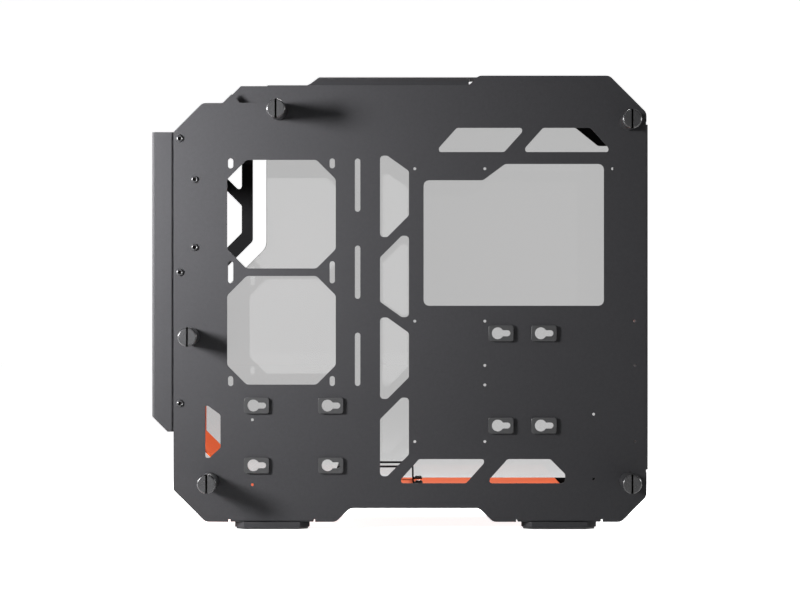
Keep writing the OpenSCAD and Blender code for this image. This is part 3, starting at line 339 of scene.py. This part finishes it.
# The small screws that join the sheets have domed heads with a hexagon socket and a rolled
# thread. They are blackened, or zinc plated where the case doesn't show them.
def turning(rings, steps=24):
    """A closed turned shape from rings of (radius, height, corners), where no corners is round"""
    mesh = bmesh.new()
    loops = []
    for radius, height, corners in rings:
        loop = []
        for k in range(steps):
            angle = 2 * math.pi * k / steps
            reach = radius
            if corners:
                half = math.pi / corners
                reach = radius * math.cos(half) / math.cos((angle % (2 * half)) - half)
            loop.append(mesh.verts.new((reach * math.cos(angle), reach * math.sin(angle), height)))
        loops.append(loop)
    for low, high in zip(loops, loops[1:]):
        for k in range(steps):
            nxt = (k + 1) % steps
            mesh.faces.new((low[k], low[nxt], high[nxt], high[k]))
    mesh.faces.new(list(reversed(loops[0])))
    mesh.faces.new(loops[-1])
    bmesh.ops.recalc_face_normals(mesh, faces=mesh.faces)
    return mesh


def socket_screw(head, tall, shank, reach, key):
    """A screw along Z whose head sits on the plane of zero height"""
    pitch, point, plain, root = 0.0007, 0.0004, 0.0006, shank * 0.82
    thread = []
    for k in range(int((reach - 2 * plain) / pitch)):
        low = point - reach + k * pitch
        thread += [(root, low, 0), (shank, low + pitch / 2, 0)]
    return turning([(shank * 0.6, -reach, 0)] + thread + [
        (root, -plain, 0), (root, 0, 0),
        (head * 0.98, 0, 0), (head, tall * 0.12, 0), (head * 0.98, tall * 0.30, 0),
        (head * 0.89, tall * 0.62, 0), (head * 0.76, tall * 0.87, 0), (head * 0.60, tall, 0),
        (key * 1.14, tall, 0), (key, tall * 0.93, 6), (key * 0.98, tall * 0.35, 6),
        (key * 0.5, tall * 0.12, 0)])


def setting_tree():
    """Geometry nodes that set a pattern on every place, each turned about its own axis by chance"""
    tree = bpy.data.node_groups.new("set_in_places", "GeometryNodeTree")
    sockets = {}
    for label, kind in (("Places", "Geometry"), ("Pattern", "Object"), ("Facing", "Rotation"),
                        ("Turn", "Float"), ("Seed", "Int"), ("Finish", "Material")):
        socket = tree.interface.new_socket(label, in_out="INPUT", socket_type="NodeSocket" + kind)
        sockets[label] = socket.identifier
    tree.interface.new_socket("Pieces", in_out="OUTPUT", socket_type="NodeSocketGeometry")
    start, end = tree.nodes.new("NodeGroupInput"), tree.nodes.new("NodeGroupOutput")
    pattern = tree.nodes.new("GeometryNodeObjectInfo")
    setting = tree.nodes.new("GeometryNodeInstanceOnPoints")
    chance = tree.nodes.new("FunctionNodeRandomValue")
    spin = tree.nodes.new("ShaderNodeCombineXYZ")
    turn = tree.nodes.new("GeometryNodeRotateInstances")
    real = tree.nodes.new("GeometryNodeRealizeInstances")
    coat = tree.nodes.new("GeometryNodeSetMaterial")
    chance.data_type = "FLOAT"
    join = tree.links.new
    join(start.outputs["Places"], setting.inputs["Points"])
    join(start.outputs["Pattern"], pattern.inputs["Object"])
    join(pattern.outputs["Geometry"], setting.inputs["Instance"])
    join(start.outputs["Facing"], setting.inputs["Rotation"])
    join(start.outputs["Turn"], chance.inputs["Max"])
    join(start.outputs["Seed"], chance.inputs["Seed"])
    join(chance.outputs[1], spin.inputs["Z"])
    join(setting.outputs[0], turn.inputs["Instances"])
    join(spin.outputs[0], turn.inputs["Rotation"])
    join(turn.outputs[0], real.inputs[0])
    join(real.outputs[0], coat.inputs["Geometry"])
    join(start.outputs["Finish"], coat.inputs["Material"])
    join(coat.outputs[0], end.inputs[0])
    return tree, sockets


setting, setting_sockets = setting_tree()


def set_in_places(name, pattern, spots, facing, finish, turn, seed):
    """One plain mesh of the pattern at every spot, its own axis along facing"""
    holder = bpy.data.objects.new(name, bpy.data.meshes.new(name))
    scene.collection.objects.link(holder)
    holder.data.from_pydata([tuple(s) for s in spots], [], [])
    step = holder.modifiers.new("setting", "NODES")
    step.node_group = setting
    values = {"Pattern": pattern, "Turn": turn, "Seed": seed, "Finish": finish.material,
              "Facing": tuple(Vector(facing).to_track_quat("Z", "Y").to_euler())}
    for label, value in values.items():
        step[setting_sockets[label]] = value
    return settled(holder)


small_screw = {"head": 0.0039, "tall": 0.002, "shank": 0.0016, "reach": 0.0055, "key": 0.0021}


def fit_screws(name, node, finish, facing, seed, screw):
    """A screw stands in for each solid of the node, its head outward and painted shade in its socket"""
    facing = Vector(facing)
    tall, key = screw["tall"], screw["key"]
    spots = []
    for low, high in islands(node):
        middle = (low + high) / 2
        half = (high - low) / 2
        spots.append(middle + facing * (abs(half.dot(facing)) - tall))
    pattern = placed(name + "_pattern", socket_screw(**screw), finish)
    piece = set_in_places(name, pattern, spots, facing, finish, 2 * math.pi, seed)
    # The faces inside each socket take the near-black painted shade.
    refinished(piece, painted_shade, lambda face: any(
        0 < (face.center - spot).dot(facing) < tall * 0.95
        and (face.center - spot).cross(facing).length < key for spot in spots))
    bpy.data.objects.remove(pattern)
    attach(piece, "frame")
    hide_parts(node)


blackened = Finish("blackened_screws", (0.022, 0.022, 0.024), {"Specular IOR Level": 1.0})
smut = blackened.noise(0.0012, 3)
blackened.tint(smut, (0.014, 0.014, 0.016), (0.030, 0.030, 0.033))
blackened.feed("Roughness", 0.24 + smut * 0.14)
plated = Finish("zinc_plate", (0.62, 0.62, 0.64), {"Metallic": 1.0})
swirl = plated.noise(0.0015, 3)
plated.tint(swirl, (0.50, 0.51, 0.53), (0.70, 0.70, 0.71))
plated.feed("Roughness", 0.25 + swirl * 0.18)
fit_screws("tray_side_screws", "tray_screws", blackened, (0, -1, 0), 3, small_screw)
fit_screws("glass_side_screws", "frame_screws", blackened, (0, 1, 0), 5, small_screw)
fit_screws("shelf_screws", "bracket_screws", blackened, (0, 0, 1), 7, small_screw)
fit_screws("feet_screws", "foot_screws", plated, (0, 0, 1), 9, small_screw)

# Seven perforated strips close the card slots, each held by one plated screw.
for i in range(1, 8):
    eased("slot_strip_%d" % i, "slot_cover_%d" % i, black_coat, 0.00025)
low, high = islands("slot_screws")[0]
strip_screw = dict(small_screw, reach=high.x - low.x - small_screw["tall"])
fit_screws("strip_screws", "slot_screws", plated, (-1, 0, 0), 11, strip_screw)

# The controls sit in a moulded housing behind the front bracket: a large and a small button, two
# square-mouthed data ports and two sound sockets.
moulding = powder_coat("moulded_shell", (0.024, 0.024, 0.026), 0.58, 0.0009)
eased("controls_shell", "control_housing", moulding, 0.0003)
keycap = powder_coat("keycap_plastic", (0.05, 0.05, 0.053), 0.35, 0.0012)
eased("power_cap", "power_button", keycap, 0.0005, "power_key")
eased("reset_cap", "reset_button", keycap, 0.0004, "reset_key")

# The shells of the ports are plated, with a moulded tongue that carries four gilt contacts. The
# sockets have a plated bore.
gilt = Finish("gilt_contacts", (0.85, 0.58, 0.22), {"Metallic": 1.0})
rubbed = gilt.noise(0.0004, 3)
gilt.tint(rubbed, (0.72, 0.46, 0.15), (0.92, 0.68, 0.32))
gilt.feed("Roughness", 0.2 + rubbed * 0.2)
shells = eased("port_shells", "data_ports", plated, 0.00015)
ports = [(low + high) / 2 for low, high in islands("data_ports")]
tongue_low, tongue_high, tongue_half = 0.0002, 0.0013, 0.0046
refinished(shells, moulding, lambda face: any(
    tongue_low < face.center.z - port.z < tongue_high and abs(face.center.y - port.y) < tongue_half
    for port in ports))
contact_size, contact_edge = (0.0052, 0.0010, 0.00012), 0.00003
contact_inset, contact_rows = 0.0046, (-0.0035, -0.0011, 0.0011, 0.0035)
contact_rise = tongue_low + 0.00005
contacts = bmesh.new()
for low, high in islands("data_ports"):
    for row in contact_rows:
        strip = bmesh.ops.create_cube(contacts, size=1)["verts"]
        bmesh.ops.scale(contacts, vec=contact_size, verts=strip)
        bmesh.ops.translate(contacts, verts=strip, vec=(
            low.x + contact_inset, (low.y + high.y) / 2 + row, (low.z + high.z) / 2 + contact_rise))
bmesh.ops.bevel(contacts, geom=contacts.edges, offset=contact_edge, segments=1, affect="EDGES")
contacts = placed("port_contacts", contacts, gilt)
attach(contacts, "frame")
bores, bore_lip, bore_reach = islands("sound_sockets"), 0.0001, 0.00185
bushes = eased("socket_rings", "sound_sockets", moulding, 0.0003)
refinished(bushes, plated, lambda face: any(
    face.center.x > low.x + bore_lip and (face.center - (low + high) / 2).yz.length < bore_reach
    for low, high in bores))

# The studio is a pale floor and a pale wall far behind. The key lamp in front on the left makes
# the long shadows of the posts. Low lamps at the sides light the rims, a small one in front is
# mirrored in the glass, one hangs overhead and one behind lights the base through the pane.
camera_distance, camera_height, long_lens, far_limit = 2.8845, 0.2371, 121.95, 60
camera = bpy.data.objects.new("camera", bpy.data.cameras.new("camera"))
scene.collection.objects.link(camera)
camera.location = (0, -camera_distance, camera_height)
camera.rotation_euler = (math.radians(90), 0, 0)
camera.data.lens = long_lens
camera.data.clip_end = far_limit
scene.camera = camera
scene.view_settings.view_transform = "Standard"


def lamp(name, place, target, width, watts, spread=180, shape="DISK"):
    """A soft lamp that hangs at a place and faces its target, unseen itself"""
    data = bpy.data.lights.new(name, "AREA")
    data.shape = shape
    data.size = width
    data.energy = watts
    data.spread = math.radians(spread)
    light = bpy.data.objects.new(name, data)
    scene.collection.objects.link(light)
    light.location = place
    light.rotation_euler = (Vector(target) - Vector(place)).to_track_quat("-Z", "Y").to_euler()
    light.visible_camera = False
    light.visible_transmission = False


lamp("key_lamp", (-0.97, -0.70, 0.468), (-0.45, -0.077, 0.384), 0.32, 7.0, 68)
lamp("right_lamp", (1.3, -0.1, 0.45), (0.1, -0.05, 0.3), 0.34, 3.5)
lamp("left_lamp", (-1.4, -0.15, 0.45), (-0.1, -0.05, 0.3), 0.38, 8)
lamp("front_lamp", (-0.36, -4.5, 0.30), (-0.36, 0, 0.30), 0.8, 4.4, shape="SQUARE")
lamp("roof_lamp", (-0.1, -0.35, 1.9), (0, 0, 0.2), 1.6, 3)
lamp("back_lamp", (0.0, 0.80, 1.0), (0, 0, 0.05), 0.4, 5.6, 70)

mirrored_level, lit_level = 0.25, 0.006
world = bpy.data.worlds.new("room")
scene.world = world
world.use_nodes = True
room = world.node_tree
ray = room.nodes.new("ShaderNodeLightPath")
mirrored = room.nodes.new("ShaderNodeMath")
mirrored.operation = "MULTIPLY_ADD"
room.links.new(ray.outputs["Is Glossy Ray"], mirrored.inputs[0])
mirrored.inputs[1].default_value = mirrored_level
room.links.new(ray.outputs["Is Transmission Ray"], mirrored.inputs[2])
seen = room.nodes.new("ShaderNodeMath")
seen.operation = "MAXIMUM"
room.links.new(ray.outputs["Is Camera Ray"], seen.inputs[0])
room.links.new(mirrored.outputs[0], seen.inputs[1])
level = room.nodes.new("ShaderNodeMix")
room.links.new(seen.outputs[0], level.inputs[0])
level.inputs[2].default_value = lit_level
level.inputs[3].default_value = 1.0
room.links.new(level.outputs[0], room.nodes["Background"].inputs["Strength"])
room.nodes["Background"].inputs["Color"].default_value = (1, 1, 1, 1)


def pale_sheet(name, corners, near_glow):
    """A matt sheet that takes the shadow near the case and fades to white further off"""
    mesh = bpy.data.meshes.new(name)
    mesh.from_pydata(corners, [], [(0, 1, 2, 3)])
    sheet = bpy.data.objects.new(name, mesh)
    scene.collection.objects.link(sheet)
    paper = Finish(name, (0.8, 0.8, 0.8), {"Roughness": 0.9, "Specular IOR Level": 0.0})
    ray = {label: paper.node("ShaderNodeLightPath", output="Is %s Ray" % label)
           for label in ("Camera", "Glossy", "Transmission")}
    shown = ray["Camera"].larger(ray["Transmission"]).larger(ray["Glossy"] * 0.5)
    away = paper.node("ShaderNodeVectorMath", {"operation": "LENGTH"}, {0: paper.place()}, "Value")
    glow = ((away - 0.5) * 0.8 + near_glow).larger(near_glow).smaller(1.0)
    paper.shader.inputs["Emission Strength"].default_value = 1.0
    paper.feed("Emission Color", glow * shown)
    mesh.materials.append(paper.material)
    sheet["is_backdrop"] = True


wide, back = 9, 7
pale_sheet("floor", [(-wide, -wide, 0), (wide, -wide, 0), (wide, wide, 0), (-wide, wide, 0)], 0.94)
pale_sheet("far_wall", [(-wide, back, 0), (wide, back, 0), (wide, back, wide), (-wide, back, wide)], 1.0)

boxes = {"cad": cad_box, "visual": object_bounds()}
{name: [list(corner) for corner in corners] for name, corners in boxes.items()}
